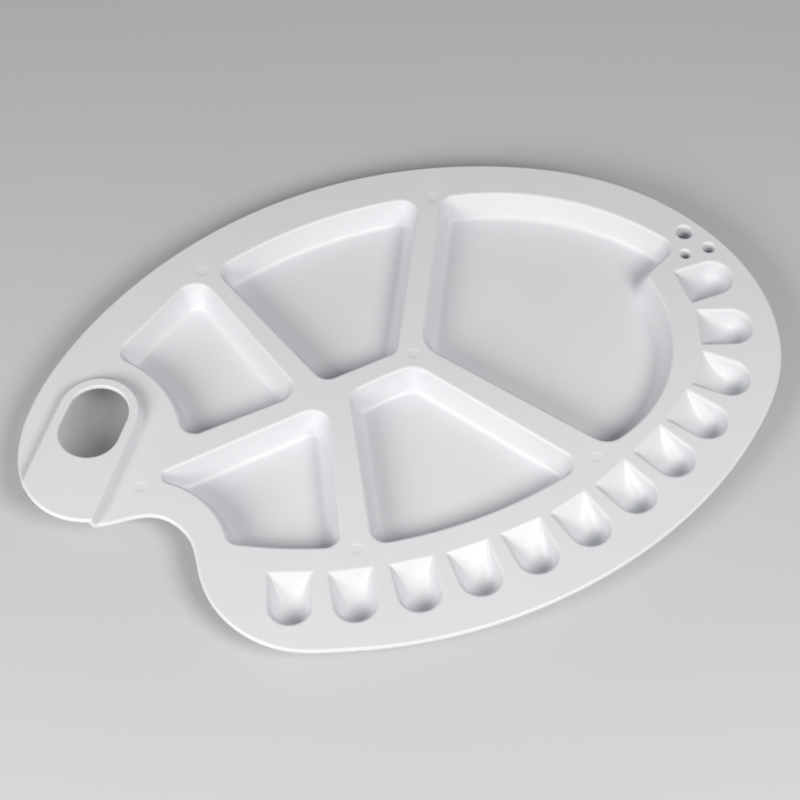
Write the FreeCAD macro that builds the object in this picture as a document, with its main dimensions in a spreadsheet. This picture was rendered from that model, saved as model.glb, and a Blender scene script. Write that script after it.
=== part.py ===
import FreeCAD, Part
import math
import os

# A painter's mixing palette: one flat oval web with a raised thumb rest,
# five mixing wells, twelve paint wells along the edge and three brush sockets.
# +X runs along the long axis to the rounded end, the thumb rest lies at -X,
# +Z is up, and z = 0 is the plane the mixing wells stand on.

V = FreeCAD.Vector
doc = FreeCAD.newDocument("mixing_palette")

# Driving sizes, in millimetres and degrees.
sizeRows = [
    ("overall_length", 340.0),
    ("overall_width", 239.0),
    ("deck_height", 14.5),
    ("deck_thickness", 2.2),
    ("floor_thickness", 2.0),
    ("rim_radius", 1.2),
    ("under_rim_radius", 0.5),
    ("wall_draft", 20.0),
    ("lip_width", 1.3),
    ("lip_radius", 1.7),
    ("foot_radius", 2.0),
    ("least_corner", 1.2),
    ("paint_width", 20.7),
    ("paint_length", 26.6),
    ("paint_depth", 9.5),
    ("paint_corner", 1.8),
    ("ramp_run", 8.7),
    ("rest_rise", 4.4),
    ("rest_half_width", 20.3),
    ("rest_angle", 57.0),
    ("rest_lip", 1.2),
    ("thumb_width", 26.0),
    ("thumb_length", 36.0),
    ("brush_large", 6.9),
    ("brush_medium", 4.9),
    ("brush_small", 4.3),
    ("socket_wall", 2.1),
    ("socket_depth", 8.0),
    ("socket_lip", 1.2),
    ("pin_mark", 5.0),
    ("pin_mark_depth", 0.2),
]
sizes = doc.addObject("Spreadsheet::Sheet", "sizes")
for row, (alias, value) in enumerate(sizeRows, start=1):
    sizes.set("A%d" % row, alias)
    sizes.set("B%d" % row, str(value))
    sizes.setAlias("B%d" % row, alias)
doc.recompute()


def size(alias):
    return float(sizes.get(alias))


# Plan positions below are written for a palette of this length and width.
plannedLength = 340.0
plannedWidth = 239.0
planCentre = V(-0.1, 0.7, 0.0)


stretchX = size("overall_length") / plannedLength
stretchY = size("overall_width") / plannedWidth

# Paint wells stand side by side, so a palette that is narrower or shorter than planned
# has smaller ones in the same row.
rowStretch = min(stretchX, stretchY, 1.0)


def place(x, y):
    return V((x - planCentre.x) * stretchX, (y - planCentre.y) * stretchY, 0.0)


# Free edge of the palette, counter-clockwise, joined by one smooth closed curve.
edgePoints = [
    (132.0, 80.0), (77.5, 109.5), (-7.0, 119.5), (-72.0, 103.5), (-126.0, 71.0),
    (-150.5, 47.0), (-163.5, 27.5), (-170.0, 3.0), (-163.5, -19.0), (-140.5, -31.0),
    (-118.5, -33.0), (-107.7, -47.0), (-107.5, -62.5), (-104.5, -81.5), (-82.0, -106.5),
    (-65.0, -112.0), (-33.5, -117.5), (7.0, -118.0), (58.0, -108.0), (104.0, -87.5),
    (141.5, -58.5), (162.5, -31.0), (169.5, 10.0), (148.5, 62.0),
]

# Mixing wells: corners counter-clockwise as (x, y, corner radius, middle of the
# side that follows, or None where that side is straight).
mixingWells = {
    "mixing_well_1": [
        (-74.0, 87.2, 10.0, None),
        (-122.0, 51.5, 7.0, (-105.3, 32.5)),
        (-101.7, -0.5, 8.0, None),
        (-43.3, 9.5, 9.0, None),
    ],
    "mixing_well_2": [
        (36.8, 102.3, 9.0, (-15.0, 101.2)),
        (-67.8, 86.0, 8.0, None),
        (-35.0, 12.0, 8.0, None),
        (2.0, 19.2, 8.0, None),
    ],
    "mixing_well_3": [
        (11.1, 20.7, 14.0, None),
        (74.3, -51.6, 11.0, (119.0, -14.0)),
        (122.8, 30.0, 3.0, None),
        (142.5, 42.0, 8.5, (101.0, 82.0)),
        (44.0, 99.5, 9.0, None),
    ],
    "mixing_well_4": [
        (-33.8, 4.3, 9.0, None),
        (-124.5, -14.0, 4.5, (-99.5, -31.0)),
        (-94.0, -54.0, 7.0, (-72.0, -62.6)),
        (-47.0, -69.0, 8.0, None),
    ],
    "mixing_well_5": [
        (7.5, 12.5, 12.0, (-10.0, 10.0)),
        (-26.0, 5.5, 9.0, None),
        (-36.7, -71.0, 8.0, (10.0, -70.8)),
        (64.0, -57.0, 8.0, None),
    ],
}

# Paint wells: middle of the inner edge and the way the well points, in degrees.
paintWells = [
    (133.7, 19.9, 5.0),
    (133.0, -2.4, -14.0),
    (124.7, -21.9, -37.0),
    (109.5, -37.5, -49.5),
    (91.2, -50.2, -58.5),
    (70.4, -62.0, -62.5),
    (48.5, -70.9, -70.0),
    (26.2, -76.5, -80.0),
    (2.1, -79.8, -85.0),
    (-21.9, -80.0, -92.5),
    (-46.9, -77.5, -97.5),
    (-70.9, -72.0, -104.5),
]

# Brush sockets: centre and the size that gives the bore.
brushSockets = {
    "brush_socket_large": (146.8, 49.3, "brush_large"),
    "brush_socket_medium": (154.5, 37.9, "brush_medium"),
    "brush_socket_small": (142.9, 37.3, "brush_small"),
}

thumbCentre = (-134.6, 17.3)

# Round marks left by the ejector pins on the deck.
pinMarks = [
    (40.9, 99.3), (-72.2, 86.3), (7.8, 17.4), (-122.1, -17.3), (-42.1, -70.3), (68.2, -55.0),
]

# A full round end is two corners with this much of the side left straight between them.
shortSide = 0.2

# An edge belongs to an outline when its middle lies this near to it.
touching = 0.01


def side_between(start, end, middle):
    """Side of an outline as a dictionary: a line, or a circle through a middle point."""
    if middle is None:
        along = (end - start).normalize()
        return {"kind": "line", "point": start, "normal": V(-along.y, along.x, 0.0)}
    circle = Part.Arc(start, middle, end).toShape().Curve.Center
    radius = (start - circle).Length
    turn = (middle - start).cross(end - middle).z
    return {"kind": "arc", "centre": circle, "radius": radius, "sense": 1.0 if turn > 0 else -1.0}


def foot_on(side, inset, point):
    """Nearest point to `point` on a side moved inwards by `inset`."""
    if side["kind"] == "line":
        base = side["point"] + side["normal"] * inset
        return point - side["normal"] * (point - base).dot(side["normal"])
    reach = side["radius"] - side["sense"] * inset
    return side["centre"] + (point - side["centre"]).normalize() * reach


def corner_between(before, after, insetBefore, insetAfter, guess):
    """Meeting point of two sides moved inwards, found by sliding from one to the other."""
    point = guess
    for step in range(60):
        first = foot_on(before, insetBefore, point)
        second = foot_on(after, insetAfter, point)
        normalA = side_normal(before, point)
        normalB = side_normal(after, point)
        missA = (first - point).dot(normalA)
        missB = (second - point).dot(normalB)
        spread = normalA.x * normalB.y - normalA.y * normalB.x
        moveX = (missA * normalB.y - missB * normalA.y) / spread
        moveY = (missB * normalA.x - missA * normalB.x) / spread
        point = point + V(moveX, moveY, 0.0)
        if math.hypot(moveX, moveY) < 1e-10:
            break
    return point


def side_normal(side, point):
    """Inward normal of a side near a point."""
    if side["kind"] == "line":
        return side["normal"]
    return (side["centre"] - point).normalize() * side["sense"]


def rounded_outline(corners, insets, shrink, leastRadius):
    """Edges of a closed outline moved inwards, its corners rounded.

    Each corner radius loses `shrink` but never falls below `leastRadius`.
    Inner corners (where the outline turns away) gain it instead.
    """
    count = len(corners)
    points = [V(c[0], c[1], 0.0) for c in corners]
    middles = [None if c[3] is None else V(c[3][0], c[3][1], 0.0) for c in corners]
    sides = [side_between(points[i], points[(i + 1) % count], middles[i]) for i in range(count)]
    bends = []
    for i in range(count):
        before = sides[i - 1]
        after = sides[i]
        insetBefore = insets[i - 1]
        insetAfter = insets[i]
        normalA = side_normal(before, points[i])
        normalB = side_normal(after, points[i])
        outward = normalA.x * normalB.y - normalA.y * normalB.x > 0
        if outward:
            radius = max(corners[i][2] - shrink, leastRadius)
            push = radius
        else:
            radius = corners[i][2] + shrink
            push = -radius
        centre = corner_between(before, after, insetBefore + push, insetAfter + push, points[i])
        enter = foot_on(before, insetBefore, centre)
        leave = foot_on(after, insetAfter, centre)
        bends.append((enter, leave, centre, radius, outward))
    edges = []
    for i in range(count):
        enter, leave, centre, radius, outward = bends[i]
        nextEnter = bends[(i + 1) % count][0]
        edges.append(("arc", enter, leave, centre, radius, outward))
        if sides[i]["kind"] == "line":
            edges.append(("line", leave, nextEnter))
        else:
            reach = (leave - sides[i]["centre"]).Length
            edges.append(("arc", leave, nextEnter, sides[i]["centre"], reach, sides[i]["sense"] > 0))
    return edges


def add_edges(sketch, edges):
    """Put outline edges into a sketch; arcs always run counter-clockwise."""
    for edge in edges:
        if edge[0] == "line":
            sketch.addGeometry(Part.LineSegment(edge[1], edge[2]), False)
            continue
        kind, start, end, centre, radius, forward = edge
        if not forward:
            start, end = end, start
        first = math.atan2(start.y - centre.y, start.x - centre.x)
        last = math.atan2(end.y - centre.y, end.x - centre.x)
        if last < first:
            last += 2.0 * math.pi
        circle = Part.Circle(centre, V(0, 0, 1), radius)
        sketch.addGeometry(Part.ArcOfCircle(circle, first, last), False)


def new_body(label):
    body = doc.addObject("PartDesign::Body", label)
    body.Label = label
    return body


def flat_sketch(body, name, heightFormula):
    """Sketch on the body's XY plane, raised to a height given by a formula."""
    plane = [f for f in body.Origin.OriginFeatures if f.Role == "XY_Plane"][0]
    sketch = body.newObject("Sketcher::SketchObject", name)
    sketch.AttachmentSupport = [(plane, "")]
    sketch.MapMode = "FlatFace"
    sketch.setExpression("AttachmentOffset.Base.z", heightFormula)
    return sketch


def add_pad(body, name, sketch, lengthFormula):
    pad = body.newObject("PartDesign::Pad", name)
    pad.Profile = sketch
    pad.setExpression("Length", lengthFormula)
    doc.recompute()
    return pad


def add_pocket(body, name, sketch, lengthFormula):
    pocket = body.newObject("PartDesign::Pocket", name)
    pocket.Profile = sketch
    pocket.setExpression("Length", lengthFormula)
    doc.recompute()
    return pocket


def add_loft(body, name, kind, first, second):
    loft = body.newObject("PartDesign::" + kind, name)
    loft.Profile = first
    loft.Sections = [second]
    loft.Ruled = True
    doc.recompute()
    return loft


def add_fillet(body, name, feature, edgeNames, radiusFormula):
    fillet = body.newObject("PartDesign::Fillet", name)
    fillet.Base = (feature, edgeNames)
    fillet.setExpression("Radius", radiusFormula)
    doc.recompute()
    return fillet


def flat_edges(shape, height, chosen):
    """Names of the edges lying at one height for which `chosen` holds."""
    names = []
    for index, edge in enumerate(shape.Edges, start=1):
        box = edge.BoundBox
        if abs(box.ZMin - height) < 1e-4 and abs(box.ZMax - height) < 1e-4 and chosen(edge):
            names.append("Edge%d" % index)
    return names


def lying_on(shape):
    """Test: the middle of an edge stands over a flat shape at z = 0."""
    def test(edge):
        middle = edge.valueAt(0.5 * (edge.FirstParameter + edge.LastParameter))
        probe = Part.Vertex(V(middle.x, middle.y, 0.0))
        return probe.distToShape(shape)[0] < touching
    return test


def outline_wire(edges):
    """Closed wire at z = 0 through outline edges."""
    shapes = []
    for edge in edges:
        if edge[0] == "line":
            shapes.append(Part.makeLine(edge[1], edge[2]))
            continue
        kind, start, end, centre, radius, forward = edge
        bulge = ((start - centre) + (end - centre)).normalize() * radius
        shapes.append(Part.Arc(start, centre + bulge, end).toShape())
    return Part.Wire(shapes)


def add_cup(label, corners, depth, floorInsets, underInsets, underHeight):
    """A drafted cup hanging from a flange that fills its opening in the deck.

    floorInsets and underInsets list how far each side moves inwards from the
    flange's outline to the floor of the hollow and to the underside; corners
    shrink by the last one. underHeight is the formula of the underside's height.
    """
    count = len(corners)
    least = size("least_corner")
    lipWidth = size("lip_width")
    lip = rounded_outline(corners, [0.0] * count, 0.0, least)
    mouth = rounded_outline(corners, [lipWidth] * count, lipWidth, least)
    # A floor corner is never tighter than the rounding that runs through it.
    floor = rounded_outline(corners, floorInsets, floorInsets[-1], max(least, size("foot_radius")))
    under = rounded_outline(corners, underInsets, underInsets[-1], least)
    body = new_body(label)
    flange = flat_sketch(body, label + "_flange", "sizes.deck_height - sizes.deck_thickness")
    add_edges(flange, lip)
    add_pad(body, label + "_flange_pad", flange, "sizes.deck_thickness")
    upper = flat_sketch(body, label + "_outside_top", "sizes.deck_height - sizes.deck_thickness")
    add_edges(upper, lip)
    lower = flat_sketch(body, label + "_outside_floor", underHeight)
    add_edges(lower, under)
    add_loft(body, label + "_outside", "AdditiveLoft", upper, lower)
    opening = flat_sketch(body, label + "_hollow_top", "sizes.deck_height")
    add_edges(opening, mouth)
    bottom = flat_sketch(body, label + "_hollow_floor", underHeight + " + sizes.floor_thickness")
    add_edges(bottom, floor)
    hollow = add_loft(body, label + "_hollow", "SubtractiveLoft", opening, bottom)
    top = size("deck_height")
    lipEdges = flat_edges(hollow.Shape, top, lying_on(outline_wire(mouth)))
    rounded = add_fillet(body, label + "_lip", hollow, lipEdges, "sizes.lip_radius")
    footEdges = flat_edges(rounded.Shape, top - depth, lambda edge: True)
    add_fillet(body, label + "_foot", rounded, footEdges, "sizes.foot_radius")
    return body


def add_mixing_well(label, corners):
    placed = place_corners(corners)
    depth = size("deck_height") - size("floor_thickness")
    count = len(placed)
    floorInset = size("lip_width") + depth * lean
    underInset = (size("deck_height") - size("deck_thickness")) * lean
    return add_cup(label, placed, depth, [floorInset] * count, [underInset] * count, "0")


def place_corners(corners):
    placed = []
    for x, y, radius, middle in corners:
        spot = place(x, y)
        bulge = None
        if middle is not None:
            moved = place(middle[0], middle[1])
            bulge = (moved.x, moved.y)
        placed.append((spot.x, spot.y, radius, bulge))
    return placed


def turned_corners(x, y, heading, local):
    """Corners given along and across a heading, moved to their place in the plan."""
    origin = place(x, y)
    along = V(math.cos(math.radians(heading)), math.sin(math.radians(heading)), 0.0)
    across = V(-along.y, along.x, 0.0)
    corners = []
    for forward, sideways, radius in local:
        spot = origin + along * forward + across * sideways
        corners.append((spot.x, spot.y, radius, None))
    return corners


def paint_corners(x, y, heading):
    """D shape: flat inner edge at the given point, full round at the outer end."""
    half = 0.5 * size("paint_width") * rowStretch
    length = size("paint_length") * rowStretch
    corner = size("paint_corner")
    roundEnd = half - 0.5 * shortSide
    local = [
        (0.0, half, corner),
        (0.0, -half, corner),
        (length, -half, roundEnd),
        (length, half, roundEnd),
    ]
    return turned_corners(x, y, heading, local)


def add_paint_well(label, x, y, heading):
    """Cup whose inner wall is a ramp; sides and outer end carry the usual draft."""
    lip = size("lip_width")
    depth = size("paint_depth")
    under = depth + size("floor_thickness") - size("deck_thickness")
    rampUnder = size("ramp_run") * under / depth
    side = lip + depth * lean
    outer = under * lean
    return add_cup(
        label, paint_corners(x, y, heading), depth, [lip + size("ramp_run"), side, side, side],
        [rampUnder, outer, outer, outer], "sizes.deck_height - sizes.paint_depth - sizes.floor_thickness")


def rest_corners(halfWidth):
    """Arch of the thumb rest: round beyond the thumb hole, running off the free edge."""
    beyond = 0.5 * (size("thumb_length") - size("thumb_width")) + halfWidth
    past = -2.0 * size("thumb_length")
    corner = size("least_corner")
    roundEnd = halfWidth - 0.5 * shortSide
    local = [
        (beyond, halfWidth, roundEnd),
        (past, halfWidth, corner),
        (past, -halfWidth, corner),
        (beyond, -halfWidth, roundEnd),
    ]
    return turned_corners(thumbCentre[0], thumbCentre[1], size("rest_angle"), local)


def thumb_corners():
    """Thumb hole: a slot with full round ends, along the arch of the thumb rest."""
    half = 0.5 * size("thumb_width")
    reach = 0.5 * size("thumb_length")
    roundEnd = half - 0.5 * shortSide
    local = [
        (reach, half, roundEnd),
        (-reach, half, roundEnd),
        (-reach, -half, roundEnd),
        (reach, -half, roundEnd),
    ]
    return turned_corners(thumbCentre[0], thumbCentre[1], size("rest_angle"), local)


def free_edge():
    """Smooth closed curve through the edge points, cut into four spans."""
    curve = Part.BSplineCurve()
    curve.interpolate(Points=[place(x, y) for x, y in edgePoints], PeriodicFlag=True)
    low, high = curve.FirstParameter, curve.LastParameter
    spans = []
    for quarter in range(4):
        span = curve.copy()
        span.segment(low + (high - low) * quarter / 4.0, low + (high - low) * (quarter + 1) / 4.0)
        spans.append(span)
    return spans


def add_free_edge(sketch):
    for span in free_edge():
        sketch.addGeometry(span, False)


def add_frame(sketch):
    """Large rectangle around the whole palette."""
    reach = size("overall_length")
    ends = [V(-reach, -reach, 0), V(reach, -reach, 0), V(reach, reach, 0), V(-reach, reach, 0)]
    for i in range(4):
        sketch.addGeometry(Part.LineSegment(ends[i], ends[(i + 1) % 4]), False)


def add_deck():
    """Flat web with a rounded rim, opened for every cup, socket and the thumb rest."""
    body = new_body("deck")
    base = "sizes.deck_height - sizes.deck_thickness"
    plan = flat_sketch(body, "deck_plan", base)
    add_free_edge(plan)
    web = add_pad(body, "deck_web", plan, "sizes.deck_thickness")
    rim = flat_edges(web.Shape, size("deck_height"), lambda edge: True)
    rounded = add_fillet(body, "deck_rim", web, rim, "sizes.rim_radius")
    below = flat_edges(rounded.Shape, size("deck_height") - size("deck_thickness"), lambda edge: True)
    add_fillet(body, "deck_underside_rim", rounded, below, "sizes.under_rim_radius")
    least = size("least_corner")
    openings = flat_sketch(body, "deck_openings", "sizes.deck_height")
    for corners in mixingWells.values():
        placed = place_corners(corners)
        add_edges(openings, rounded_outline(placed, [0.0] * len(placed), 0.0, least))
    for x, y, heading in paintWells:
        add_edges(openings, rounded_outline(paint_corners(x, y, heading), [0.0] * 4, 0.0, least))
    for x, y, bore in brushSockets.values():
        radius = 0.5 * size(bore) + size("socket_wall")
        openings.addGeometry(Part.Circle(place(x, y), V(0, 0, 1), radius), False)
    add_pocket(body, "deck_cut", openings, "sizes.deck_thickness")
    rest = flat_sketch(body, "deck_rest_opening", "sizes.deck_height")
    add_edges(rest, rounded_outline(rest_corners(size("rest_half_width")), [0.0] * 4, 0.0, least))
    add_pocket(body, "deck_rest_cut", rest, "sizes.deck_thickness")
    marks = flat_sketch(body, "deck_pin_marks", "sizes.deck_height")
    for x, y in pinMarks:
        marks.addGeometry(Part.Circle(place(x, y), V(0, 0, 1), 0.5 * size("pin_mark")), False)
    add_pocket(body, "deck_marks", marks, "sizes.pin_mark_depth")
    return body


def add_thumb_rest():
    """Raised plate round the thumb hole, stepping down to the deck along an arch."""
    label = "thumb_rest"
    body = new_body(label)
    lip = size("lip_width")
    least = size("least_corner")
    corners = rest_corners(size("rest_half_width"))
    rise = size("rest_rise")
    thick = size("deck_thickness")
    wall = thick / math.cos(math.radians(size("wall_draft")))

    def arch(name, heightFormula, inset):
        sketch = flat_sketch(body, label + name, heightFormula)
        add_edges(sketch, rounded_outline(corners, [inset] * 4, inset, least))
        return sketch

    band = arch("_band_plan", "sizes.deck_height - sizes.deck_thickness", 0.0)
    add_pad(body, label + "_band", band, "sizes.deck_thickness")
    low = arch("_step_low", "sizes.deck_height", lip)
    high = arch("_step_high", "sizes.deck_height + sizes.rest_rise", lip + rise * lean)
    add_loft(body, label + "_step", "AdditiveLoft", low, high)
    wide = arch("_hollow_low", "sizes.deck_height - sizes.deck_thickness", lip + wall - thick * lean)
    narrow = arch("_hollow_high", "sizes.deck_height + sizes.rest_rise - sizes.deck_thickness",
                  lip + wall + (rise - thick) * lean)
    add_loft(body, label + "_hollow", "SubtractiveLoft", wide, narrow)
    outside = flat_sketch(body, label + "_outside", "sizes.deck_height + sizes.rest_rise")
    add_free_edge(outside)
    add_frame(outside)
    add_pocket(body, label + "_trim", outside, "sizes.rest_rise + sizes.deck_thickness")
    hole = flat_sketch(body, label + "_hole", "sizes.deck_height + sizes.rest_rise")
    add_edges(hole, rounded_outline(thumb_corners(), [0.0] * 4, 0.0, least))
    cut = add_pocket(body, label + "_hole_cut", hole, "sizes.rest_rise")
    top = size("deck_height") + rise
    rim = flat_edges(cut.Shape, top, lambda edge: True)
    crested = add_fillet(body, label + "_crest", cut, rim, "sizes.rest_lip")
    foot = Part.Face(outline_wire(rounded_outline(corners, [lip] * 4, lip, least)))
    cove = flat_edges(crested.Shape, size("deck_height"), lying_on(foot))
    add_fillet(body, label + "_cove", crested, cove, "sizes.lip_radius")
    return body


def add_brush_socket(label, x, y, bore):
    """Short tube let into the deck, open at both ends."""
    body = new_body(label)
    foot = "sizes.deck_height - sizes.socket_depth"
    outer = flat_sketch(body, label + "_outer", foot)
    outer.addGeometry(Part.Circle(place(x, y), V(0, 0, 1), 0.5 * size(bore) + size("socket_wall")), False)
    add_pad(body, label + "_tube", outer, "sizes.socket_depth")
    inner = flat_sketch(body, label + "_inner", "sizes.deck_height")
    inner.addGeometry(Part.Circle(place(x, y), V(0, 0, 1), 0.5 * size(bore)), False)
    cut = add_pocket(body, label + "_bore", inner, "sizes.socket_depth")
    limit = size(bore) + touching
    top = flat_edges(cut.Shape, size("deck_height"), lambda edge: edge.BoundBox.XLength < limit)
    add_fillet(body, label + "_bore_lip", cut, top, "sizes.socket_lip")
    return body


lean = math.tan(math.radians(size("wall_draft")))
bodies = [add_deck(), add_thumb_rest()]
for label, corners in mixingWells.items():
    bodies.append(add_mixing_well(label, corners))
for number, (x, y, heading) in enumerate(paintWells, start=1):
    bodies.append(add_paint_well("paint_well_%02d" % number, x, y, heading))
for label, (x, y, bore) in brushSockets.items():
    bodies.append(add_brush_socket(label, x, y, bore))
doc.recompute()

for item in doc.Objects:
    if "Invalid" in item.State or "Error" in item.State:
        raise RuntimeError("%s is not valid: %s" % (item.Name, item.State))
for body in bodies:
    shape = body.Shape
    if shape.isNull() or not shape.isValid() or len(shape.Solids) != 1:
        raise RuntimeError("%s has no single valid solid" % body.Label)
os.makedirs("parts", exist_ok=True)
for body in bodies:
    body.Shape.exportStep("parts/%s.step" % body.Label)
    print(body.Label, round(body.Shape.Volume, 1), len(body.Shape.Faces))
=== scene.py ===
import math

import bmesh
import bpy
import numpy as np
from mathutils import Matrix


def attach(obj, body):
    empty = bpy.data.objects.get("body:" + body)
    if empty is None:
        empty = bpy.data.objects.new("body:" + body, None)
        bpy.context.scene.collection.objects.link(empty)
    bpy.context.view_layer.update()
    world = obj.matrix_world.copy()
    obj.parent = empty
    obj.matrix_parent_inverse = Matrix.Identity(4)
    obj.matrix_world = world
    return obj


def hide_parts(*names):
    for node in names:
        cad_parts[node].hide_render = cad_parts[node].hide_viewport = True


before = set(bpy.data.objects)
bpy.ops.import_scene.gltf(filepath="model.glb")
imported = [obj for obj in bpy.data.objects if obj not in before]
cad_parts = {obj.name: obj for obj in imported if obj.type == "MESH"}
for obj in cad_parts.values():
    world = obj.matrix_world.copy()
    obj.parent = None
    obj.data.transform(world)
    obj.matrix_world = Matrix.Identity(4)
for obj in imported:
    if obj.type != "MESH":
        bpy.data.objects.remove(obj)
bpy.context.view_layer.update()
print("frame loaded:", len(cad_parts), "nodes")

# All lengths below are millimetres and all angles degrees; meshes are made in metres.
metres = 0.001

# Points nearer than weldReach are welded and edges under shortestEdge dissolved (both in metres),
# noRadius stands for a sharp edge, and a flat begins flatStart past a small rounding and
# floorStart past a well's foot.
weldReach = 2e-6
shortestEdge = 1e-7
noRadius = 1e-6
flatStart = 0.06
floorStart = 0.2

# A full round end is two corners whose radius is this much less than half the width.
roundEndGap = 0.1

# Angles that turn a quarter-round edge, and Newton steps for a corner of a moved outline.
quarterTurn = np.linspace(0.0, 0.5 * math.pi, 9)
cornerTries = 40

deck = {
    "top": 14.5,
    "thickness": 2.2,
    "rimRadius": 1.2,
    "underRimRadius": 0.5,
    "planCentre": (-0.1, 0.7),
    "edgePoints": [
        (132.0, 80.0), (77.5, 109.5), (-7.0, 119.5), (-72.0, 103.5), (-126.0, 71.0),
        (-150.5, 47.0), (-163.5, 27.5), (-170.0, 3.0), (-163.5, -19.0), (-140.5, -31.0),
        (-118.5, -33.0), (-107.7, -47.0), (-107.5, -62.5), (-104.5, -81.5), (-82.0, -106.5),
        (-65.0, -112.0), (-33.5, -117.5), (7.0, -118.0), (58.0, -108.0), (104.0, -87.5),
        (141.5, -58.5), (162.5, -31.0), (169.5, 10.0), (148.5, 62.0),
    ],
    "edgeSamples": 900,
    "pinMarks": [(40.9, 99.3), (-72.2, 86.3), (7.8, 17.4), (-122.1, -17.3), (-42.1, -70.3), (68.2, -55.0)],
    "pinRadius": 2.3,
    "pinSlope": 1.1,
    "pinDepth": 0.16,
    "pinRings": 11,
    "pinSteps": 48,
}

cups = {
    "draft": 20.0,
    "lipWidth": 1.3,
    "lipRadius": 1.7,
    "footRadius": 3.2,
    "underRadius": 1.2,
    "floorThickness": 2.0,
    "leastCorner": 1.2,
    "cornerSteps": 16,
    "sideSteps": 30,
    "hollowSteps": (12, 5),
    "outsideSteps": (8, 4),
}

lean = math.tan(math.radians(cups["draft"]))
deckTop = deck["top"]
deckBottom = deck["top"] - deck["thickness"]


def place(x, y):
    return np.array([x - deck["planCentre"][0], y - deck["planCentre"][1]], float)


def sideBetween(start, end, middle):
    # A side is a straight line, or the circle through its two ends and a middle point.
    if middle is None:
        along = (end - start) / np.linalg.norm(end - start)
        return {"straight": True, "point": start, "normal": np.array([-along[1], along[0]])}
    rows = 2.0 * np.array([middle - start, end - start])
    centre = np.linalg.solve(rows, [middle @ middle - start @ start, end @ end - start @ start])
    turn = np.sign(np.cross(middle - start, end - middle))
    return {"straight": False, "centre": centre, "radius": np.linalg.norm(start - centre), "sense": turn}


def inwardNormal(side, point):
    if side["straight"]:
        return side["normal"]
    return (side["centre"] - point) / np.linalg.norm(side["centre"] - point) * side["sense"]


def footOn(side, inset, point):
    # Nearest point on a side that has moved inwards by the inset.
    if side["straight"]:
        base = side["point"] + side["normal"] * inset
        return point - side["normal"] * ((point - base) @ side["normal"])
    reach = side["radius"] - side["sense"] * inset
    return side["centre"] + (point - side["centre"]) / np.linalg.norm(point - side["centre"]) * reach


def meetingPoint(before, after, insetBefore, insetAfter, guess):
    # Newton steps on the two distances, from the sharp corner to where the moved sides cross.
    point = guess.copy()
    for step in range(cornerTries):
        normals = np.array([inwardNormal(before, point), inwardNormal(after, point)])
        misses = np.array([
            (footOn(before, insetBefore, point) - point) @ normals[0],
            (footOn(after, insetAfter, point) - point) @ normals[1],
        ])
        point = point + np.linalg.solve(normals, misses)
    return point


def arcPoints(centre, start, end, forward, steps):
    # Points on a circle from start towards end, counter-clockwise if forward.
    radius = np.linalg.norm(start - centre)
    first = np.arctan2(start[1] - centre[1], start[0] - centre[0])
    last = np.arctan2(end[1] - centre[1], end[0] - centre[0])
    if forward and last < first:
        last += 2.0 * np.pi
    if not forward and last > first:
        last -= 2.0 * np.pi
    angle = first + (last - first) * np.arange(steps) / steps
    return np.column_stack([centre[0] + radius * np.cos(angle), centre[1] + radius * np.sin(angle)])


def roundedLoop(corners, insets, shrink):
    # Closed outline whose sides moved inwards, each corner replaced by an arc that touches both
    # sides; an arc's radius is the corner's own less the shrink, or plus it where the corner turns away.
    count = len(corners)
    points = [np.array(corner[:2], float) for corner in corners]
    middles = [None if corner[3] is None else np.array(corner[3], float) for corner in corners]
    sides = [sideBetween(points[i], points[(i + 1) % count], middles[i]) for i in range(count)]
    bends = []
    for i in range(count):
        outward = np.cross(inwardNormal(sides[i - 1], points[i]), inwardNormal(sides[i], points[i])) > 0
        radius = max(corners[i][2] - shrink, cups["leastCorner"]) if outward else corners[i][2] + shrink
        push = radius if outward else -radius
        centre = meetingPoint(sides[i - 1], sides[i], insets[i - 1] + push, insets[i] + push, points[i])
        enter = footOn(sides[i - 1], insets[i - 1], centre)
        leave = footOn(sides[i], insets[i], centre)
        bends.append((enter, leave, centre, outward))
    runs = []
    for i in range(count):
        enter, leave, centre, outward = bends[i]
        following = bends[(i + 1) % count][0]
        runs.append(arcPoints(centre, enter, leave, outward, cups["cornerSteps"]))
        if sides[i]["straight"]:
            share = np.arange(cups["sideSteps"])[:, None] / cups["sideSteps"]
            runs.append(leave + (following - leave) * share)
        else:
            forward = sides[i]["sense"] > 0
            runs.append(arcPoints(sides[i]["centre"], leave, following, forward, cups["sideSteps"]))
    return np.vstack(runs)


def placedCorners(corners):
    return [
        (*place(x, y), radius, None if middle is None else tuple(place(*middle)))
        for x, y, radius, middle in corners
    ]


def turnedCorners(x, y, heading, local):
    # Corners given along and across a heading, moved to their place in the plan.
    along = np.array([math.cos(math.radians(heading)), math.sin(math.radians(heading))])
    across = np.array([-along[1], along[0]])
    origin = place(x, y)
    return [
        (*(origin + along * forward + across * sideways), radius, None)
        for forward, sideways, radius in local
    ]


def circleLoop(x, y, radius, steps):
    angle = 2.0 * np.pi * np.arange(steps) / steps
    return place(x, y) + radius * np.column_stack([np.cos(angle), np.sin(angle)])


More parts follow.
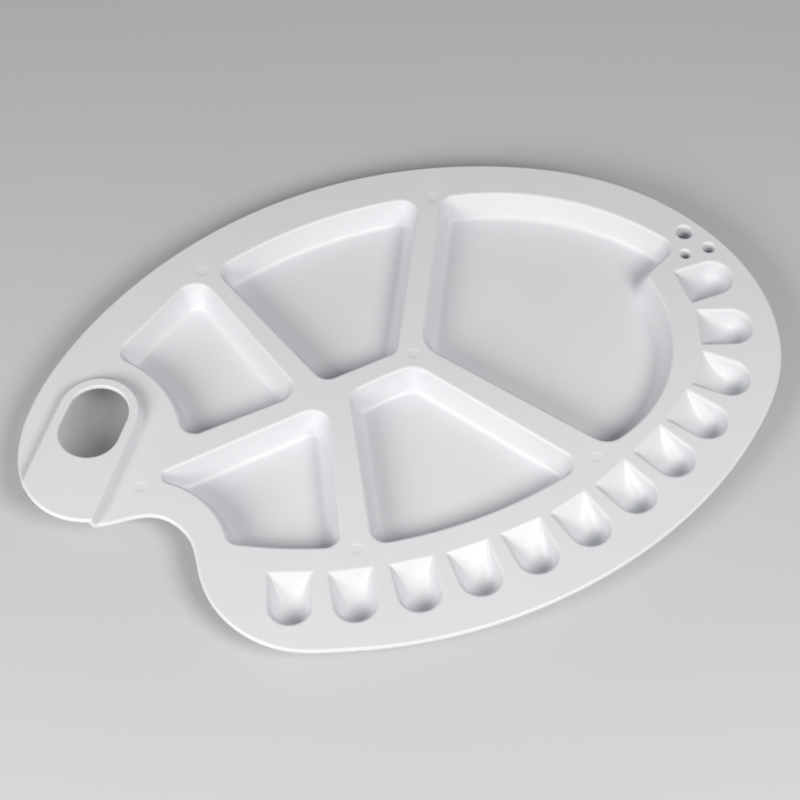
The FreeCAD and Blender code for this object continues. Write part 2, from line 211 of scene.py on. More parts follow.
def wallInset(heights, top, floor, lip, slope, lipRadius, footRadius):
    # Inset of a leaning wall at each height: an arc that leaves the level top, the straight
    # wall that gains `slope` for each millimetre down, and an arc that lands on the level floor.
    tilt = math.atan(slope)
    bend = 0.5 * math.pi - tilt
    straight = lip + (top - heights) * slope
    lipStart = lip - lipRadius * math.tan(0.5 * bend)
    footEnd = lip + (top - floor) * slope + footRadius * math.tan(0.5 * bend)
    above = np.sqrt(np.clip(lipRadius ** 2 - (heights - top + lipRadius) ** 2, 0.0, None))
    below = np.sqrt(np.clip(footRadius ** 2 - (floor + footRadius - heights) ** 2, 0.0, None))
    inset = np.where(heights > top - lipRadius * (1.0 - math.sin(tilt)), lipStart + above, straight)
    return np.where(heights < floor + footRadius * (1.0 - math.sin(tilt)), footEnd - below, inset)


def wallHeights(top, floor, slope, lipRadius, footRadius, arcSteps, wallSteps):
    # Heights that turn both arcs by equal angles and part the straight wall evenly.
    bend = 0.5 * math.pi - math.atan(slope)
    turn = bend * np.arange(arcSteps + 1) / arcSteps
    lipPart = top - lipRadius * (1.0 - np.cos(turn))
    footPart = floor + footRadius * (1.0 - np.cos(turn[::-1]))
    between = np.linspace(lipPart[-1], footPart[0], wallSteps + 2)[1:-1]
    return np.concatenate([lipPart, between, footPart])


def ringGrid(rings, closed=True):
    # Quads between neighbouring rings, vertex k of one ring to vertex k of the next.
    levels, count = rings.shape[:2]
    row = np.arange(levels - 1)[:, None] * count
    column = np.arange(count if closed else count - 1)[None, :]
    after = (column + 1) % count
    quads = np.stack([row + column, row + after, row + count + after, row + count + column], axis=-1)
    return rings.reshape(-1, 3), quads.reshape(-1, 4)


def flatFill(loops, height):
    # Triangles over the plane area inside the first loop and outside the others.
    mesh = bmesh.new()
    for loop in loops:
        made = [mesh.verts.new((x, y, 0.0)) for x, y in loop]
        for i in range(len(made)):
            mesh.edges.new((made[i - 1], made[i]))
    bmesh.ops.triangle_fill(mesh, use_beauty=True, use_dissolve=False, edges=mesh.edges[:])
    mesh.verts.index_update()
    triangles = np.array([[vertex.index for vertex in face.verts] for face in mesh.faces])
    mesh.free()
    points = np.vstack([np.asarray(loop) for loop in loops])
    return np.column_stack([points, np.full(len(points), float(height))]), triangles


def makePiece(name, patches, replaced, seamAngle=38.0):
    # Joins patches of points and faces, welds shared edges and turns every face outwards.
    offset = 0
    points = []
    faces = []
    for patchPoints, patchFaces in patches:
        points.append(patchPoints)
        faces.extend((patchFaces + offset).tolist())
        offset += len(patchPoints)
    mesh = bpy.data.meshes.new(name)
    mesh.from_pydata((np.vstack(points) * metres).tolist(), [], faces)
    work = bmesh.new()
    work.from_mesh(mesh)
    bmesh.ops.remove_doubles(work, verts=work.verts[:], dist=weldReach)
    bmesh.ops.dissolve_degenerate(work, edges=work.edges[:], dist=shortestEdge)
    bmesh.ops.recalc_face_normals(work, faces=work.faces[:])
    openEdges = sum(1 for edge in work.edges if not edge.is_manifold)
    if work.calc_volume(signed=True) < 0.0:
        bmesh.ops.reverse_faces(work, faces=work.faces[:])
    work.to_mesh(mesh)
    work.free()
    mesh.shade_smooth()
    mesh.set_sharp_from_angle(angle=math.radians(seamAngle))
    piece = bpy.data.objects.new(name, mesh)
    bpy.context.scene.collection.objects.link(piece)
    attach(piece, "root")
    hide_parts(replaced)
    print(name, len(mesh.polygons), "faces,", openEdges, "open edges")
    return piece


def stackRings(loops, heights):
    return np.stack([np.column_stack([loop, np.full(len(loop), z)]) for loop, z in zip(loops, heights)])


def leaningSkin(corners, floor, foot):
    # Hollow of a mixing well: rings of the rounded outline at each height, moved inwards by the
    # wall's profile, from the level floor up over the lip to the flange's edge.
    heights = wallHeights(deckTop, floor, lean, cups["lipRadius"], foot, *cups["hollowSteps"])
    insets = wallInset(heights, deckTop, floor, cups["lipWidth"], lean, cups["lipRadius"], foot)
    insets = np.concatenate([[0.0], insets, [insets[-1] + floorStart]])
    loops = [roundedLoop(corners, np.full(len(corners), inset), inset) for inset in insets]
    return stackRings(loops[::-1], np.concatenate([[deckTop], heights, [floor]])[::-1])


paintWell = {
    "width": 20.7,
    "length": 26.6,
    "depth": 9.5,
    "corner": 1.8,
    "rampRun": 8.7,
    "scoopRun": 16.0,
    "scoopRadius": 18.0,
    "bowlRun": 4.5,
    "bowlRadius": 7.0,
    "creaseBlend": 11.0,
    "creaseGrowth": 2.6,
    "creaseStart": 0.02,
    "profileSamples": 400,
    "lipReach": 2.2,
    "lipSteps": 16,
    "ringSteps": 30,
    "middleShare": 0.55,
    "places": [
        (133.7, 19.9, 5.0), (133.0, -2.4, -14.0), (124.7, -21.9, -37.0), (109.5, -37.5, -49.5),
        (91.2, -50.2, -58.5), (70.4, -62.0, -62.5), (48.5, -70.9, -70.0), (26.2, -76.5, -80.0),
        (2.1, -79.8, -85.0), (-21.9, -80.0, -92.5), (-46.9, -77.5, -97.5), (-70.9, -72.0, -104.5),
    ],
}


def paintCorners(x, y, heading):
    half = 0.5 * paintWell["width"]
    length = paintWell["length"]
    corner = paintWell["corner"]
    roundEnd = half - roundEndGap
    local = [(0.0, half, corner), (0.0, -half, corner), (length, -half, roundEnd), (length, half, roundEnd)]
    return turnedCorners(x, y, heading, local)


def profileDepth(distance, run, foot):
    # Depth under the deck at each distance from the outline: the wall profile read backwards.
    heights = np.linspace(deckTop, deckTop - paintWell["depth"], paintWell["profileSamples"])
    slope = run / paintWell["depth"]
    inset = wallInset(heights, deckTop, heights[-1], cups["lipWidth"], slope, cups["lipRadius"], foot)
    return np.interp(distance, inset, deckTop - heights)


def scoopDepth(forward, sideways):
    # The shallower of two depths, ramp from the inner edge and bowl from the sides and the round
    # end; where they come within the blend of each other it is less by a quarter of the blend
    # times their closeness squared. The blend is almost nothing at the deck and levels off with depth as
    # one less an exponential; the whole is then stretched so that the bottom keeps the well's depth.
    half = 0.5 * paintWell["width"]
    beyond = np.clip(forward - paintWell["length"] + half, 0.0, None)
    ramp = profileDepth(forward, paintWell["scoopRun"], paintWell["scoopRadius"])
    bowl = profileDepth(half - np.hypot(beyond, sideways), paintWell["bowlRun"], paintWell["bowlRadius"])
    lesser = np.minimum(ramp, bowl)
    full = paintWell["creaseBlend"]
    growth = paintWell["creaseGrowth"] * (lesser + paintWell["creaseStart"]) / full
    blend = full * (1.0 - np.exp(-growth))
    closeness = np.clip(blend - np.abs(ramp - bowl), 0.0, None) / blend
    stretch = paintWell["depth"] / (paintWell["depth"] - 0.25 * full)
    return (lesser - 0.25 * blend * closeness ** 2) * stretch


def scoopSkin(corners, x, y, heading):
    # Hollow of a paint well: rings parallel to the outline over the lip, then rings that shrink
    # evenly to a middle point, all at the scoop's depth.
    along = np.array([math.cos(math.radians(heading)), math.sin(math.radians(heading))])
    across = np.array([-along[1], along[0]])
    origin = place(x, y)
    lipInsets = np.linspace(0.0, paintWell["lipReach"], paintWell["lipSteps"])
    loops = [roundedLoop(corners, np.full(4, inset), inset) for inset in lipInsets]
    middle = origin + along * paintWell["length"] * paintWell["middleShare"]
    left = 1.0 - np.arange(1, paintWell["ringSteps"] + 1) / paintWell["ringSteps"]
    loops += [middle + (loops[-1] - middle) * share for share in left]
    plan = np.stack(loops)
    depth = scoopDepth((plan - origin) @ along, (plan - origin) @ across)
    steepest = profileDepth(lipInsets, paintWell["bowlRun"], paintWell["bowlRadius"])
    depth[:len(lipInsets)] = np.minimum(depth[:len(lipInsets)], steepest[:, None])
    return np.dstack([plan, deckTop - depth])[::-1]


def cupPiece(name, corners, skin, floor, slopes, replaced):
    # The hollow's skin, then down the flange and the outer skin: rings of the rounded outline,
    # each side moved inwards by its own slope, to a level underside.
    under = floor - cups["floorThickness"]
    radius = cups["underRadius"]
    arcSteps, wallSteps = cups["outsideSteps"]
    heights = wallHeights(deckBottom, under, slopes[-1], 0.0, radius, arcSteps, wallSteps)[arcSteps:]
    sides = [wallInset(heights, deckBottom, under, 0.0, slope, noRadius, radius) for slope in slopes]
    insets = np.stack(sides, axis=1)
    insets = np.vstack([insets, insets[-1] + floorStart])
    loops = [roundedLoop(corners, row, row[-1]) for row in insets]
    outside = stackRings(loops, np.concatenate([heights, [under]]))
    patches = [ringGrid(np.concatenate([skin, outside])), flatFill([loops[-1]], under)]
    hasLevelFloor = np.ptp(skin[0, :, 0]) > 0.0
    if hasLevelFloor:
        patches.append(flatFill([skin[0, :, :2]], floor))
    return makePiece(name, patches, replaced)


pieces = []
# Corners counter-clockwise: x, y, corner radius, middle of the next side (None if straight).
mixingWells = {
    "mixing_well_1": [
        (-74.0, 87.2, 10.0, None),
        (-122.0, 51.5, 7.0, (-105.3, 32.5)),
        (-101.7, -0.5, 8.0, None),
        (-43.3, 9.5, 9.0, None),
    ],
    "mixing_well_2": [
        (36.8, 102.3, 9.0, (-15.0, 101.2)),
        (-67.8, 86.0, 8.0, None),
        (-35.0, 12.0, 8.0, None),
        (2.0, 19.2, 8.0, None),
    ],
    "mixing_well_3": [
        (11.1, 20.7, 14.0, None),
        (74.3, -51.6, 11.0, (119.0, -14.0)),
        (122.8, 30.0, 3.0, None),
        (142.5, 42.0, 8.5, (101.0, 82.0)),
        (44.0, 99.5, 9.0, None),
    ],
    "mixing_well_4": [
        (-33.8, 4.3, 9.0, None),
        (-124.5, -14.0, 4.5, (-99.5, -31.0)),
        (-94.0, -54.0, 7.0, (-72.0, -62.6)),
        (-47.0, -69.0, 8.0, None),
    ],
    "mixing_well_5": [
        (7.5, 12.5, 12.0, (-10.0, 10.0)),
        (-26.0, 5.5, 9.0, None),
        (-36.7, -71.0, 8.0, (10.0, -70.8)),
        (64.0, -57.0, 8.0, None),
    ],
}

for label, corners in mixingWells.items():
    placed = placedCorners(corners)
    floor = cups["floorThickness"]
    skin = leaningSkin(placed, floor, cups["footRadius"])
    pieces.append(cupPiece(label + "_cup", placed, skin, floor, [lean] * len(placed), label))
paintFloor = deckTop - paintWell["depth"]
rampSlope = paintWell["rampRun"] / paintWell["depth"]
for number, (x, y, heading) in enumerate(paintWell["places"], start=1):
    label = "paint_well_%02d" % number
    corners = paintCorners(x, y, heading)
    skin = scoopSkin(corners, x, y, heading)
    pieces.append(cupPiece(label + "_cup", corners, skin, paintFloor, [rampSlope, lean, lean, lean], label))
print("wells made")

sockets = {
    "wall": 2.1,
    "depth": 8.0,
    "lip": 1.2,
    "footStep": 0.25,
    "rimFlat": 0.08,
    "boreStart": 0.1,
    "steps": 72,
    "places": {
        "brush_socket_large": (146.8, 49.3, 6.9),
        "brush_socket_medium": (154.5, 37.9, 4.9),
        "brush_socket_small": (142.9, 37.3, 4.3),
    },
}

for label, (x, y, bore) in sockets["places"].items():
    # Radius and height round the tube's wall: bore, rounded lip, top, outside, foot.
    lip = sockets["lip"]
    step = sockets["footStep"]
    inside = 0.5 * bore
    outside = inside + sockets["wall"]
    foot = deckTop - sockets["depth"]
    radii = np.concatenate([
        [inside, inside + step, outside - step, outside, outside],
        [outside, inside + lip + sockets["rimFlat"]],
        inside + lip - lip * np.sin(quarterTurn), [inside, inside]])
    heights = np.concatenate([
        [foot + step, foot, foot, foot + step, deckBottom], [deckTop, deckTop],
        deckTop - lip + lip * np.cos(quarterTurn), [deckTop - lip - sockets["boreStart"], foot + step]])
    loops = [circleLoop(x, y, radius, sockets["steps"]) for radius in radii]
    pieces.append(makePiece(label + "_tube", [ringGrid(stackRings(loops, heights))], label))
print("brush sockets made")


def periodicSpline(points, samples):
    # Closed cubic through the points, chord length as parameter: slopes from the cyclic
    # equations that make curvature continuous, then Hermite spans; returns points and tangents.
    points = np.asarray(points, float)
    step = np.linalg.norm(np.roll(points, -1, axis=0) - points, axis=1)
    count = len(points)
    index = np.arange(count)
    before = step[index - 1]
    matrix = np.zeros((count, count))
    matrix[index, index - 1] = step
    matrix[index, index] = 2.0 * (step + before)
    matrix[index, (index + 1) % count] = before
    rise = (np.roll(points, -1, axis=0) - points) / step[:, None]
    right = 3.0 * (step[:, None] * rise[index - 1] + before[:, None] * rise)
    slopes = np.linalg.solve(matrix, right)
    ends = np.concatenate([[0.0], np.cumsum(step)])
    at = ends[-1] * np.arange(samples) / samples
    span = np.clip(np.searchsorted(ends, at, side="right") - 1, 0, count - 1)
    width = step[span][:, None]
    share = (at - ends[span])[:, None] / width
    a, b = points[span], points[(span + 1) % count]
    da, db = slopes[span] * width, slopes[(span + 1) % count] * width
    value = (
        a * (1 - 3 * share ** 2 + 2 * share ** 3) + da * (share - 2 * share ** 2 + share ** 3)
        + b * (3 * share ** 2 - 2 * share ** 3) + db * (share ** 3 - share ** 2)
    )
    tangent = (
        (b - a) * (6 * share - 6 * share ** 2)
        + da * (1 - 4 * share + 3 * share ** 2) + db * (3 * share ** 2 - 2 * share)
    )
    return value, tangent / np.linalg.norm(tangent, axis=1)[:, None]


edgePlan = np.array([place(x, y) for x, y in deck["edgePoints"]])
edgeLine, edgeAlong = periodicSpline(edgePlan, deck["edgeSamples"])
edgeInward = np.column_stack([-edgeAlong[:, 1], edgeAlong[:, 0]])

thumbRest = {
    "centre": (-134.6, 17.3),
    "angle": 57.0,
    "halfWidth": 20.3,
    "rise": 4.4,
    "crestRadius": 1.0,
    "coveRadius": 1.0,
    "holeWidth": 26.0,
    "holeLength": 36.0,
    "holeLip": 1.0,
    "lineSteps": 40,
    "archSteps": 90,
    "edgeSteps": 120,
    "stepSteps": (10, 4),
    "underLevels": 6,
    "edgeReach": 5.0,
    "edgeMargin": 6.0,
    "rimMargin": 1.6,
}


def thumbCorners():
    half = 0.5 * thumbRest["holeWidth"]
    reach = 0.5 * thumbRest["holeLength"]
    local = [(reach, half), (-reach, half), (-reach, -half), (reach, -half)]
    rounded = [(u, v, half - roundEndGap) for u, v in local]
    return turnedCorners(*thumbRest["centre"], thumbRest["angle"], rounded)


# Thumb rest's own directions: u points up its arch, v across it.
restU = np.array([math.cos(math.radians(thumbRest["angle"])), math.sin(math.radians(thumbRest["angle"]))])
restV = np.array([-restU[1], restU[0]])
restOrigin = place(*thumbRest["centre"])
archU = 0.5 * (thumbRest["holeLength"] - thumbRest["holeWidth"])
edgeU = (edgeLine - restOrigin) @ restU
edgeV = (edgeLine - restOrigin) @ restV
atRest = edgeU < thumbRest["edgeReach"]
nearRest = np.where(atRest & (np.abs(edgeV) < thumbRest["halfWidth"] + thumbRest["edgeMargin"]))[0]
orderV = nearRest[np.argsort(edgeV[nearRest])]


def edgeAt(v):
    # Free edge's u for each v, and how far u must go to be one millimetre from the edge.
    step = 0.2
    before, u, after = [np.interp(v + shift, edgeV[orderV], edgeU[orderV]) for shift in (-step, 0.0, step)]
    slope = (after - before) / (2.0 * step)
    return u, np.sqrt(1.0 + slope ** 2)


def toPlan(u, v):
    return restOrigin + u[..., None] * restU + v[..., None] * restV


def roundDrop(distance, radius):
    # Fall of a quarter-round edge at a distance from it.
    return radius - np.sqrt(np.clip(radius ** 2 - np.clip(radius - distance, 0.0, None) ** 2, 0.0, None))


# Distances from the free edge at which the rim has rings, above and below.
edgeSteps = np.unique(np.round(np.concatenate([
    deck["rimRadius"] * (1.0 - np.cos(quarterTurn)), [deck["rimRadius"] + flatStart],
    deck["underRimRadius"] * (1.0 - np.cos(quarterTurn[::2])), [deck["underRimRadius"] + flatStart]]), 6))
lowSteps = edgeSteps[edgeSteps < deck["underRimRadius"] + 1.1 * flatStart]


def archPath(insets):
    # For each inset, a path from the free edge up the +v line, round the arch and down the -v
    # line to the free edge; the points by the edge stand at the rim profile's own distances.
    half = thumbRest["halfWidth"] - np.asarray(insets, float)[:, None]
    start, stretch = edgeAt(half)
    finish, stretchLow = edgeAt(-half)
    share = np.linspace(0.0, 1.0, thumbRest["lineSteps"] + 1)[None, 1:]
    reach = edgeSteps[-1]
    upU = start + reach * stretch + (archU - start - reach * stretch) * share
    downU = finish + reach * stretchLow + (archU - finish - reach * stretchLow) * share[:, ::-1]
    turn = np.pi * np.linspace(0.0, 1.0, thumbRest["archSteps"] + 1)[None, 1:-1]
    u = np.concatenate([
        start + edgeSteps * stretch, upU, archU + half * np.sin(turn), downU,
        finish + edgeSteps[::-1] * stretchLow], axis=1)
    v = np.concatenate([
        half + 0.0 * edgeSteps, half + 0.0 * share, half * np.cos(turn), -half + 0.0 * share,
        -half + 0.0 * edgeSteps], axis=1)
    distance = np.full(u.shape, reach)
    distance[:, :len(edgeSteps)] = edgeSteps
    distance[:, -len(edgeSteps):] = edgeSteps[::-1]
    return toPlan(u, v), distance


boundary, boundaryDistance = archPath([0.0])
boundary, boundaryDistance = boundary[0], boundaryDistance[0]


def deckPiece():
    # Rim rings follow the free edge where the deck reaches it; their last points are the thumb
    # rest's boundary points at the same distance from the edge.
    inRest = atRest & (np.abs(edgeV) < thumbRest["halfWidth"] + thumbRest["rimMargin"])
    first = np.where(inRest & ~np.roll(inRest, -1))[0][0] + 1
    last = np.where(inRest & ~np.roll(inRest, 1))[0][0] - 1
    index = np.arange(first, last + 1 + (len(edgeLine) if last < first else 0)) % len(edgeLine)

    def rimRing(distance):
        k = int(np.argmin(np.abs(edgeSteps - distance)))
        inner = edgeLine[index] + edgeInward[index] * distance
        startPoint, endPoint = boundary[-1 - k], boundary[k]
        if np.linalg.norm(inner[0] - startPoint) > np.linalg.norm(inner[0] - endPoint):
            startPoint, endPoint = endPoint, startPoint
        return np.vstack([startPoint, inner, endPoint])

    topRings = [rimRing(d) for d in edgeSteps[::-1]]
    topLevels = deckTop - roundDrop(edgeSteps[::-1], deck["rimRadius"])
    lowRings = [rimRing(d) for d in lowSteps]
    lowLevels = deckBottom + roundDrop(lowSteps, deck["underRimRadius"])
    rim = ringGrid(stackRings(topRings + lowRings, np.concatenate([topLevels, lowLevels])), closed=False)
    wallTop = np.column_stack([boundary, deckTop - roundDrop(boundaryDistance, deck["rimRadius"])])
    wallLow = np.column_stack([boundary, deckBottom + roundDrop(boundaryDistance, deck["underRimRadius"])])
    patches = [rim, ringGrid(np.stack([wallTop, wallLow]), closed=False)]
    holes = [roundedLoop(placedCorners(c), np.zeros(len(c)), 0.0) for c in mixingWells.values()]
    holes += [roundedLoop(paintCorners(*spot), np.zeros(4), 0.0) for spot in paintWell["places"]]
    holes += [
        circleLoop(x, y, 0.5 * bore + sockets["wall"], sockets["steps"])
        for x, y, bore in sockets["places"].values()
    ]
    for loop in holes:
        patches.append(ringGrid(stackRings([loop, loop], [deckTop, deckBottom])))
    marks = []
    for x, y in deck["pinMarks"]:
        share = np.linspace(0.0, 1.0, deck["pinRings"])
        radii = deck["pinRadius"] + 0.5 * deck["pinSlope"] - deck["pinSlope"] * share
        levels = deckTop - deck["pinDepth"] * 0.5 * (1.0 - np.cos(np.pi * share))
        loops = [circleLoop(x, y, radius, deck["pinSteps"]) for radius in radii]
        patches.append(ringGrid(stackRings(loops, levels)))
        patches.append(flatFill([loops[-1]], levels[-1]))
        marks.append(loops[0])

    def outerLoop(ring, distance):
        k = int(np.argmin(np.abs(edgeSteps - distance)))
        inner = boundary[k + 1:len(boundary) - 1 - k]
        if np.linalg.norm(inner[0] - ring[-1]) > np.linalg.norm(inner[-1] - ring[-1]):
            inner = inner[::-1]
        return np.vstack([ring, inner])

    patches.append(flatFill([outerLoop(topRings[0], edgeSteps[-1])] + holes + marks, deckTop))
    patches.append(flatFill([outerLoop(lowRings[-1], lowSteps[-1])] + holes, deckBottom))
    return makePiece("deck_web", patches, "deck")


pieces.append(deckPiece())
print("deck made")


def restTop():
    # Height above the inset from the arch: level band, cove, leaning step, crest, level plate.
    rise = thumbRest["rise"]
    lip = cups["lipWidth"]
    crest = thumbRest["crestRadius"]
    cove = thumbRest["coveRadius"]
    heights = wallHeights(deckTop + rise, deckTop, lean, crest, cove, *thumbRest["stepSteps"])
    fromTop = wallInset(heights, deckTop + rise, deckTop, 0.0, lean, crest, cove)
    fromArch = lip + rise * lean - fromTop
    return np.concatenate([[0.0], fromArch[::-1], [fromArch[0] + flatStart]]), np.concatenate(
        [[deckTop], heights[::-1], [deckTop + rise]])


def thumbRestPiece():
    # Rings parallel to the arch carry the step's profile and stop on the free edge, where the
    # height falls by a quarter round; the plate between them is level and holds the thumb hole.
    rise = thumbRest["rise"]
    thickness = deck["thickness"]
    wall = thickness / math.cos(math.radians(cups["draft"]))
    insets, levels = restTop()
    paths, distance = archPath(insets)
    top = np.dstack([paths, levels[:, None] - roundDrop(distance, deck["rimRadius"])])
    lowInset = cups["lipWidth"] + wall - thickness * lean
    highInset = cups["lipWidth"] + wall + (rise - thickness) * lean
    share = np.linspace(0.0, 1.0, thumbRest["underLevels"])
    underInsets = np.concatenate([
        [0.0, lowInset - flatStart], lowInset + (highInset - lowInset) * share, [highInset + flatStart]])
    underLevels = np.concatenate([[deckBottom] * 2, deckBottom + rise * share, [deckBottom + rise]])
    lowPaths, lowDistance = archPath(underInsets)
    low = np.dstack([lowPaths, underLevels[:, None] + roundDrop(lowDistance, deck["underRimRadius"])])
    patches = [ringGrid(top, closed=False), ringGrid(low, closed=False)]
    patches.append(ringGrid(np.stack([top[0], low[0]]), closed=False))

    def edgeStrip(inset, level, sign, radius):
        # Strip along the free edge between the two ends of the innermost ring.
        half = thumbRest["halfWidth"] - inset
        v = half * np.linspace(1.0, -1.0, thumbRest["edgeSteps"] + 1)
        u, stretch = edgeAt(v)
        inward = edgeSteps[:, None]
        lines = toPlan(u[None, :] + inward * stretch[None, :], v[None, :] + 0.0 * inward)
        heights = level + sign * roundDrop(edgeSteps, radius)
        return np.dstack([lines, np.repeat(heights[:, None], len(v), axis=1)])

    topStrip = edgeStrip(insets[-1], deckTop + rise, -1.0, deck["rimRadius"])
    lowStrip = edgeStrip(underInsets[-1], deckBottom + rise, 1.0, deck["underRimRadius"])
    patches += [ringGrid(topStrip, closed=False), ringGrid(lowStrip, closed=False)]
    count = len(edgeSteps)

    def plateLoop(ring, strip):
        return np.vstack([ring[count - 1:-(count - 1), :2], strip[-1, ::-1, :2][:-1]])

    # Free edge's upright face: the outline of its upper and lower limits, filled in (v, z).
    upper = np.vstack([top[:, 0], topStrip[0, 1:-1], top[::-1, -1]])
    lower = np.vstack([low[:, 0], lowStrip[0, 1:-1], low[::-1, -1]])
    rim = np.vstack([upper, lower[::-1]])
    across = (rim[:, :2] - restOrigin) @ restV
    flat, triangles = flatFill([np.column_stack([across, rim[:, 2]])], 0.0)
    patches.append((rim, triangles))

    hole = thumbCorners()
    lip = thumbRest["holeLip"]
    under = deck["underRimRadius"]
    holeInsets = np.concatenate([
        [-lip - flatStart], -lip + lip * np.sin(quarterTurn),
        -under + under * np.cos(quarterTurn[::2]), [-under - flatStart]])
    holeLevels = np.concatenate([
        [deckTop + rise], deckTop + rise - lip * (1.0 - np.cos(quarterTurn)),
        deckBottom + rise + under * (1.0 - np.sin(quarterTurn[::2])), [deckBottom + rise]])
    loops = [roundedLoop(hole, np.full(4, inset), inset) for inset in holeInsets]
    patches.append(ringGrid(stackRings(loops, holeLevels)))
    patches.append(flatFill([plateLoop(top[-1], topStrip), loops[0]], deckTop + rise))
    patches.append(flatFill([plateLoop(low[-1], lowStrip), loops[-1]], deckBottom + rise))
    return makePiece("thumb_rest_plate", patches, "thumb_rest")


pieces.append(thumbRestPiece())
print("thumb rest made")


class Wire:
    # One socket of a material; sums and products of wires add Math nodes.
    def __init__(self, tree, socket):
        self.tree = tree
        self.socket = socket

    def maths(self, operation, first, second):
        return addNode(self.tree, "ShaderNodeMath", {"operation": operation}, [first, second])

    def __add__(self, other):
        return self.maths("ADD", self, other)

    def __radd__(self, other):
        return self.maths("ADD", other, self)

    def __sub__(self, other):
        return self.maths("SUBTRACT", self, other)

    def __rsub__(self, other):
        return self.maths("SUBTRACT", other, self)

    def __mul__(self, other):
        return self.maths("MULTIPLY", self, other)

    def __rmul__(self, other):
        return self.maths("MULTIPLY", other, self)


def addNode(tree, kind, settings, values, output=0):
    # Makes a node, sets it up, then fills its inputs with numbers or wires, in order or by name.
    node = tree.nodes.new(kind)
    for key, value in settings.items():
        if key == "stops":
            for element, (position, colour) in zip(node.color_ramp.elements, value):
                element.position = position
                element.color = colour
        else:
            setattr(node, key, value)
    items = values.items() if isinstance(values, dict) else enumerate(values)
    for key, value in items:
        if isinstance(value, Wire):
            tree.links.new(value.socket, node.inputs[key])
        elif value is not None:
            node.inputs[key].default_value = value
    return Wire(tree, node.outputs[output]) if len(node.outputs) else None


whitePlastic = {
    "colour": (0.756, 0.766, 0.788, 1.0),
    "shade": (0.734, 0.745, 0.770, 1.0),
    "roughness": 0.40,
    "roughnessSpread": 0.08,
    "flowScale": 9.0,
    "hazeScale": 38.0,
    "skinScale": 1400.0,
    "skinHeight": 0.00001,
    "dentHeight": 0.0003,
    "bumpStrength": 0.5,
    "hazeShare": 0.3,
    "shadeStop": 0.35,
    "colourStop": 0.65,
    "ior": 1.49,
}


def makeWhitePlastic():
    material = bpy.data.materials.new("white_moulded_plastic")
    material.use_nodes = True
    tree = material.node_tree
    tree.nodes.clear()
    place3d = addNode(tree, "ShaderNodeTexCoord", {}, [], output=3)

    def noise(scale, detail, roughness):
        values = {"Vector": place3d, "Scale": scale, "Detail": detail, "Roughness": roughness}
        return addNode(tree, "ShaderNodeTexNoise", {}, values)

    flow = noise(whitePlastic["flowScale"], 3.0, 0.5)
    haze = noise(whitePlastic["hazeScale"], 4.0, 0.6)
    skin = noise(whitePlastic["skinScale"], 2.0, 0.5)
    cloud = flow * (1.0 - whitePlastic["hazeShare"]) + haze * whitePlastic["hazeShare"]
    stops = [
        (whitePlastic["shadeStop"], whitePlastic["shade"]),
        (whitePlastic["colourStop"], whitePlastic["colour"]),
    ]
    tint = addNode(tree, "ShaderNodeValToRGB", {"stops": stops}, [cloud])
    sheen = whitePlastic["roughness"] + (haze - 0.5) * whitePlastic["roughnessSpread"]
    height = skin * whitePlastic["skinHeight"] + flow * whitePlastic["dentHeight"]
    values = {"Strength": whitePlastic["bumpStrength"], "Distance": 1.0, "Height": height}
    bump = addNode(tree, "ShaderNodeBump", {}, values)
    shader = addNode(
        tree, "ShaderNodeBsdfPrincipled", {},
        {"Base Color": tint, "Roughness": sheen, "IOR": whitePlastic["ior"], "Normal": bump})
    addNode(tree, "ShaderNodeOutputMaterial", {}, [shader])
    return material


plastic = makeWhitePlastic()
for piece in pieces:
    piece.data.materials.clear()
    piece.data.materials.append(plastic)
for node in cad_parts.values():
    node.data.materials.clear()
    node.data.materials.append(plastic)
print("white plastic made")


studio = {
    "floorSize": 6.0,
    "floorColour": (0.62, 0.625, 0.63, 1.0),
    "floorRoughness": 0.55,
    "grainScale": 3.0,
    "grainShade": 0.98,
    "grainStops": (0.3, 0.7),
    "worldColour": (0.94, 0.97, 1.0, 1.0),
    "worldStrength": 0.222,
    "lampColour": (1.0, 0.99, 0.965),
    "lights": {  # place, width of the round soft box, watts
        "leftSoftBox": ((-0.765, -0.407, 0.500), 0.5, 6.2),
        "rightSoftBox": ((0.332, -0.624, 0.707), 0.5, 5.8),
    },
}


def makeFloor():
    reach = 0.5 * studio["floorSize"]
    corner = np.array([[-1, -1, 0], [1, -1, 0], [1, 1, 0], [-1, 1, 0]], float) * reach
    mesh = bpy.data.meshes.new("floor")
    mesh.from_pydata(corner.tolist(), [], [(0, 1, 2, 3)])
    floor = bpy.data.objects.new("floor", mesh)
    bpy.context.scene.collection.objects.link(floor)
    material = bpy.data.materials.new("pale_floor")
    material.use_nodes = True
    tree = material.node_tree
    tree.nodes.clear()
    place3d = addNode(tree, "ShaderNodeTexCoord", {}, [], output=3)
    values = {"Vector": place3d, "Scale": studio["grainScale"], "Detail": 3.0}
    grain = addNode(tree, "ShaderNodeTexNoise", {}, values)
    low = tuple(value * studio["grainShade"] for value in studio["floorColour"][:3]) + (1.0,)
    stops = list(zip(studio["grainStops"], (low, studio["floorColour"])))
    tint = addNode(tree, "ShaderNodeValToRGB", {"stops": stops}, [grain])
    shader = addNode(
        tree, "ShaderNodeBsdfPrincipled", {}, {"Base Color": tint, "Roughness": studio["floorRoughness"]})
    addNode(tree, "ShaderNodeOutputMaterial", {}, [shader])
    mesh.materials.append(material)
    return floor


def axesMatrix(right, up, back, location):
    matrix = Matrix.Identity(4)
    for row in range(3):
        for column, axis in enumerate((right, up, back, location)):
            matrix[row][column] = axis[row]
    return matrix


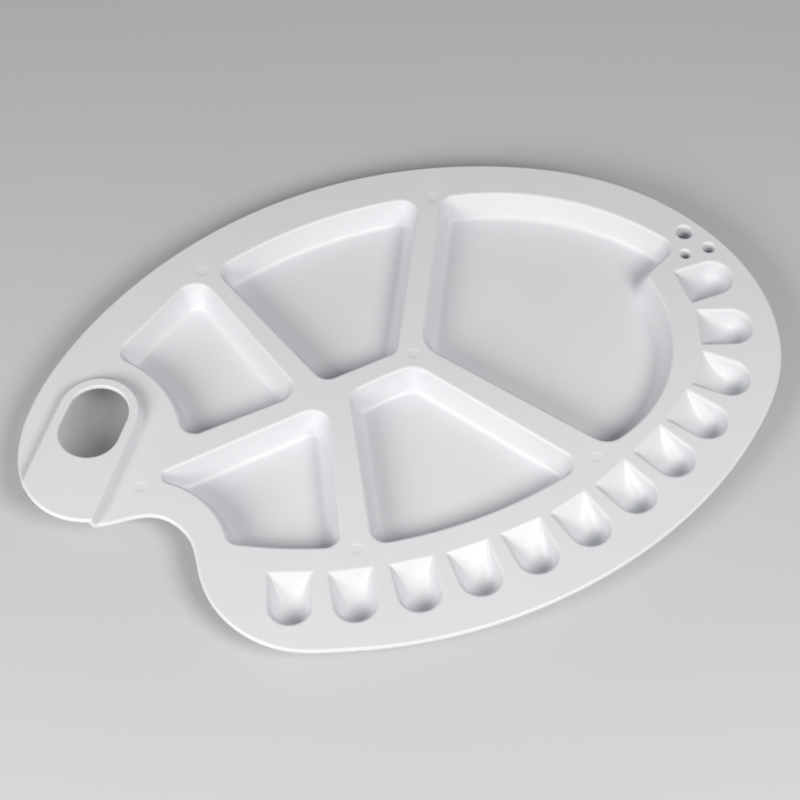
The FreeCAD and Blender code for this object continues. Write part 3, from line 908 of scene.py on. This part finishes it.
def aimed(location, target):
    # Turns an object's -Z towards the target, keeping its Y upright.
    back = np.array(location, float) - np.array(target, float)
    back = back / np.linalg.norm(back)
    right = np.cross([0.0, 0.0, 1.0], back)
    right = right / np.linalg.norm(right)
    up = np.cross(back, right)
    return axesMatrix(right, up, back, location)


makeFloor()
for name, (location, across, watts) in studio["lights"].items():
    data = bpy.data.lights.new(name, "AREA")
    data.shape = "DISK"
    data.size = across
    data.energy = watts
    data.color = studio["lampColour"]
    lamp = bpy.data.objects.new(name, data)
    lamp.matrix_world = aimed(location, (0.0, 0.0, 0.0))
    bpy.context.scene.collection.objects.link(lamp)
world = bpy.data.worlds.new("studio")
world.use_nodes = True
background = world.node_tree.nodes["Background"]
background.inputs["Color"].default_value = studio["worldColour"]
background.inputs["Strength"].default_value = studio["worldStrength"]
bpy.context.scene.world = world
bpy.context.scene.view_settings.view_transform = "Standard"

view = {
    "target": (-0.00469, -0.00529, 0.0145),
    "distance": 0.8314,
    "elevation": 57.0,
    "turn": 17.0,
    "roll": 1.28,
    "lens": 86.27,
    "sensorWidth": 36.0,
    "clipStart": 0.01,
}


def makeCamera():
    # Looks down at the target from the elevation, turned about the upright axis, then rolled.
    rise = math.radians(view["elevation"])
    turn = math.radians(view["turn"])
    roll = math.radians(view["roll"])
    away = np.array([math.sin(turn), math.cos(turn), 0.0])
    across = np.array([math.cos(turn), -math.sin(turn), 0.0])
    look = away * math.cos(rise) - np.array([0.0, 0.0, math.sin(rise)])
    upright = away * math.sin(rise) + np.array([0.0, 0.0, math.cos(rise)])
    right = across * math.cos(roll) + upright * math.sin(roll)
    up = upright * math.cos(roll) - across * math.sin(roll)
    location = np.array(view["target"]) - look * view["distance"]
    data = bpy.data.cameras.new("camera")
    data.lens = view["lens"]
    data.sensor_width = view["sensorWidth"]
    data.clip_start = view["clipStart"]
    camera = bpy.data.objects.new("camera", data)
    camera.matrix_world = axesMatrix(right, up, -look, location)
    bpy.context.scene.collection.objects.link(camera)
    bpy.context.scene.camera = camera


makeCamera()
print("scene ready")
